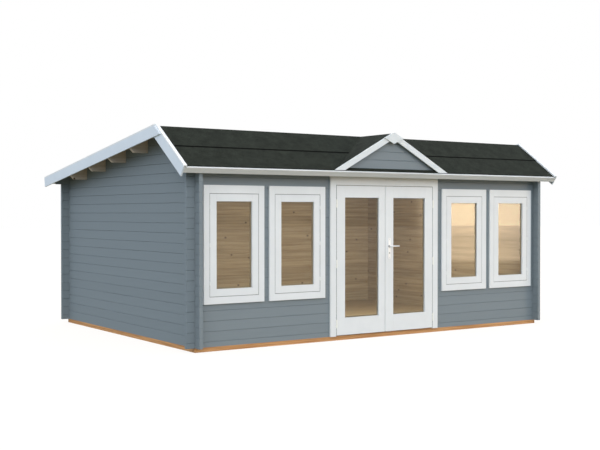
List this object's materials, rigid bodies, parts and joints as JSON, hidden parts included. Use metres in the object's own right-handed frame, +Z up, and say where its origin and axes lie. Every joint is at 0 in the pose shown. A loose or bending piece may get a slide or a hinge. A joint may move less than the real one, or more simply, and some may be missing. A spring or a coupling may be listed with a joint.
{
  "type": "garden house",
  "caption": "Painted log garden house with a lopsided felt roof, a small false gable over a glazed double door whose leaves swing outward, and tall framed windows.",
  "frame": {"origin": "on the ground, under the middle of the roof's outline in plan", "axes": "+X along the front from left to right as seen from outside, the front faces -Y, +Z up"},
  "size_m": [5.88, 4.233, 2.5515],
  "materials": {
    "painted_logs": "blue-grey wood paint outside, bare spruce inside",
    "white_trim": "satin white wood paint",
    "bare_timber": "planed bare spruce",
    "roof_felt": "mineral grit on bitumen felt",
    "window_glass": "clear float glass",
    "hinge_metal": "cream-white coated steel",
    "handle_metal": "satin silver"
  },
  "bodies": {
    "house": {"long_bearers": "bare_timber", "floor_joists": "bare_timber", "floor_deck": "bare_timber", "left_wall": "painted_logs", "right_wall": "painted_logs", "back_wall": "painted_logs", "back_header_logs": "painted_logs", "front_sill_logs": "painted_logs", "front_corner_piers": "painted_logs", "front_window_piers": "painted_logs", "front_door_piers": "painted_logs", "front_head_logs": "painted_logs", "front_header_logs": "painted_logs", "ridge_purlin": "bare_timber", "purlins": "bare_timber", "front_roof_boards": "bare_timber", "rear_roof_boards": "bare_timber", "front_roof_felt": "roof_felt", "rear_roof_felt": "roof_felt", "front_fascia": "white_trim", "rear_fascia": "white_trim", "eaves_strips": "white_trim", "left_front_bargeboard": "white_trim", "right_front_bargeboard": "white_trim", "left_rear_bargeboard": "white_trim", "right_rear_bargeboard": "white_trim", "front_verge_caps": "white_trim", "rear_verge_caps": "white_trim", "dormer_left_boards": "bare_timber", "dormer_right_boards": "bare_timber", "dormer_felt": "roof_felt", "dormer_gable_panel": "painted_logs", "dormer_left_bargeboard": "white_trim", "dormer_right_bargeboard": "white_trim", "dormer_apex_plate": "white_trim", "door_jambs": "white_trim", "door_head": "white_trim", "door_threshold": "bare_timber", "frame_hinges": "hinge_metal", "left_window_frames": "white_trim", "right_window_frames": "white_trim", "left_window_sashes": "white_trim", "right_window_sashes": "white_trim", "left_window_glass": "window_glass", "right_window_glass": "window_glass"},
    "left_door": {"left_door_leaf": "white_trim", "left_door_glass": "window_glass", "left_door_hinges": "hinge_metal"},
    "right_door": {"right_door_leaf": "white_trim", "right_door_glass": "window_glass", "right_door_hinges": "hinge_metal", "handle_plates": "handle_metal"},
    "handle": {"door_lever": "handle_metal"}
  },
  "joints": [
    {"name": "left_door_swing", "type": "hinge", "parent": "house", "child": "left_door", "pos_m": [-0.77, -1.949, 0.928], "axis": [0, 0, -1], "range_deg": [0, 105]},
    {"name": "right_door_swing", "type": "hinge", "parent": "house", "child": "right_door", "pos_m": [0.77, -1.949, 0.928], "axis": [0, 0, 1], "range_deg": [0, 105]},
    {"name": "handle_turn", "type": "hinge", "parent": "right_door", "child": "handle", "pos_m": [0.048, -1.9215, 1.13], "axis": [0, 1, 0], "range_deg": [0, 40], "stiffness_Nm_per_rad": 1, "springref_deg": -20.05}
  ]
}
